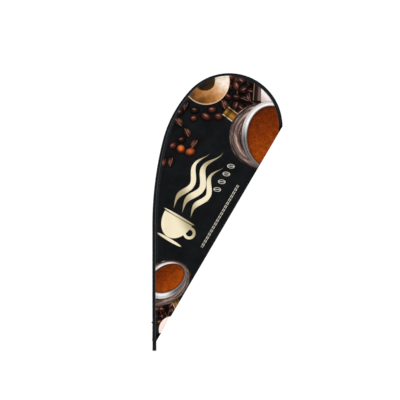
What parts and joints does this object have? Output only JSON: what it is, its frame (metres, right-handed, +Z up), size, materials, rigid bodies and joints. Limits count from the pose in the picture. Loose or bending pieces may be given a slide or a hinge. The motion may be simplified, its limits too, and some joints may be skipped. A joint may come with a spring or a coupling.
{
  "type": "teardrop flag",
  "caption": "Teardrop flag: a jointed, tapered mast bent over by its printed panel in a black sleeve, with a swivel bush in the foot.",
  "frame": {"origin": "on the mast's axis at the mouth of the spindle bore in its foot", "axes": "+Z up the mast, +X towards the flag's free edge, +Y out of the flag's back"},
  "size_m": [0.9181, 0.0296, 1.9419],
  "materials": {
    "bush_plastic": "moulded, satin",
    "blackened_steel": "blackened, satin",
    "anodised_tube": "black anodised, satin",
    "plain_aluminium": "drawn, satin",
    "fibreglass": "ground and lacquered",
    "cap_rubber": "moulded, matt",
    "button_plastic": "moulded, satin",
    "spring_steel": "blued strip",
    "sleeve_cloth": "woven polyester, matt",
    "webbing": "woven tape, matt",
    "printed_cloth": "knitted polyester with a full-colour print",
    "hem_cloth": "folded and stitched edge of the printed cloth",
    "patch_cloth": "doubled woven polyester"
  },
  "bodies": {
    "foot": {"swivel_bush": "bush_plastic", "thrust_washer": "bush_plastic"},
    "mast": {"bush_retaining_pins": "blackened_steel", "lower_tube": "anodised_tube", "lower_spigot": "plain_aluminium", "lower_joint_band": "plain_aluminium", "middle_tube": "fibreglass", "upper_spigot": "fibreglass", "upper_joint_band": "plain_aluminium", "tip_tube": "fibreglass", "tip_cap": "cap_rubber", "button_spring": "spring_steel", "pole_sleeve": "sleeve_cloth", "sleeve_cuff": "webbing", "sleeve_eyelet": "blackened_steel", "printed_panel": "printed_cloth", "free_edge_hem": "hem_cloth", "tail_patch": "patch_cloth", "tip_patch": "webbing"},
    "lock_button": {"lock_button": "button_plastic"}
  },
  "joints": [
    {"name": "mast_swivel", "type": "hinge", "parent": "foot", "child": "mast", "pos_m": [0, 0, 0], "axis": [0, 0, 1], "continuous": true},
    {"name": "lock_button_press", "type": "slide", "parent": "mast", "child": "lock_button", "axis": [1, 0, 0], "range_m": [0, 0.0075], "stiffness_N_per_m": 1500, "springref_m": -0.002, "deforming": ["button_spring"]}
  ]
}
